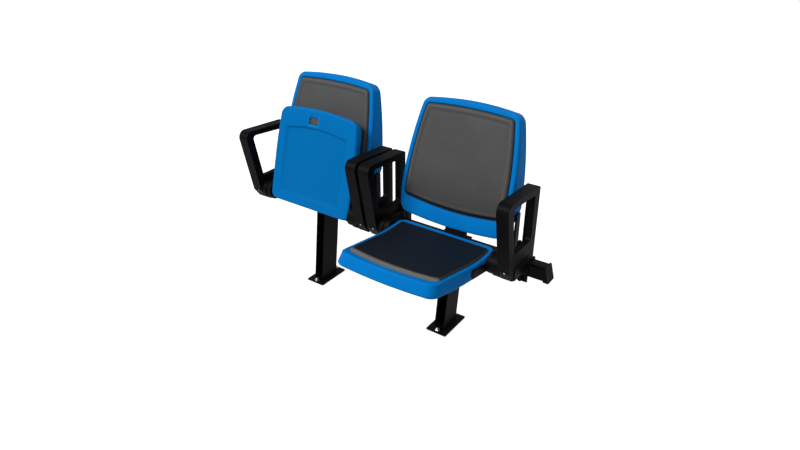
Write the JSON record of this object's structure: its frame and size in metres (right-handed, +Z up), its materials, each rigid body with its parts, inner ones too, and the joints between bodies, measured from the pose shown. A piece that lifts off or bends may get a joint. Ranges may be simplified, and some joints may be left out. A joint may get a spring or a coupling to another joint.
{
  "type": "stadium seat",
  "caption": "Beam-mounted row of tip-up stadium seats with padded blue plastic shells, loop armrests and floor posts.",
  "frame": {"origin": "on the floor, under the middle of the bounding box", "axes": "+X along the row to the sitters' left, -Y the way the sitters face, +Z up"},
  "size_m": [1.2546, 0.5438, 0.8467],
  "materials": {
    "shell_plastic": "satin blow-moulded polyethylene",
    "black_plastic": "satin moulded nylon",
    "black_paint": "satin powder coat on steel",
    "cushion_leather": "smooth moulded skin over foam",
    "zinc_steel": "bright zinc plate"
  },
  "bodies": {
    "root": {"beam": "black_paint", "post_left": "black_paint", "post_right": "black_paint", "base_plate_left": "black_paint", "base_plate_right": "black_paint", "post_saddle_left": "black_paint", "post_saddle_right": "black_paint", "side_bracket_1": "black_paint", "side_bracket_2": "black_paint", "side_bracket_3": "black_paint", "side_bracket_4": "black_paint", "clamp_plate_left": "black_paint", "clamp_plate_middle": "black_paint", "clamp_plate_right": "black_paint", "clamp_bolt_1": "black_paint", "clamp_bolt_2": "black_paint", "clamp_bolt_3": "black_paint", "clamp_bolt_4": "black_paint", "back_upright_1": "black_paint", "back_upright_2": "black_paint", "back_upright_3": "black_paint", "back_upright_4": "black_paint", "back_strap_left": "black_paint", "back_strap_right": "black_paint", "beam_cap_left": "black_plastic", "beam_cap_right": "black_plastic", "armrest_1": "black_plastic", "armrest_2": "black_plastic", "armrest_3": "black_plastic", "armrest_4": "black_plastic", "hinge_cover_1": "black_plastic", "hinge_cover_2": "black_plastic", "hinge_cover_3": "black_plastic", "hinge_cover_4": "black_plastic", "anchor_bolt_left_front": "zinc_steel", "anchor_bolt_left_rear": "zinc_steel", "anchor_bolt_right_front": "zinc_steel", "anchor_bolt_right_rear": "zinc_steel", "armrest_screw_1": "zinc_steel", "armrest_screw_2": "zinc_steel", "armrest_screw_3": "zinc_steel", "armrest_screw_4": "zinc_steel", "pivot_bolt_1": "zinc_steel", "pivot_bolt_2": "zinc_steel", "pivot_bolt_3": "zinc_steel", "pivot_bolt_4": "zinc_steel", "back_shell_left": "shell_plastic", "back_shell_right": "shell_plastic", "back_cushion_left": "cushion_leather", "back_cushion_right": "cushion_leather"},
    "seat_left": {"seat_pan_left": "shell_plastic", "seat_cushion_left": "cushion_leather", "tag_plate_left": "black_plastic", "wing_arm_1": "black_paint", "wing_arm_2": "black_paint"},
    "seat_right": {"seat_pan_right": "shell_plastic", "seat_cushion_right": "cushion_leather", "tag_plate_right": "black_plastic", "wing_arm_3": "black_paint", "wing_arm_4": "black_paint"}
  },
  "joints": [
    {"name": "seat_left_tip", "type": "hinge", "parent": "root", "child": "seat_left", "pos_m": [-0.28, 0.06881, 0.404], "axis": [1, 0, 0], "range_deg": [0, 95]},
    {"name": "seat_right_tip", "type": "hinge", "parent": "root", "child": "seat_right", "pos_m": [0.28, 0.06881, 0.404], "axis": [-1, 0, 0], "range_deg": [0, 95]}
  ]
}
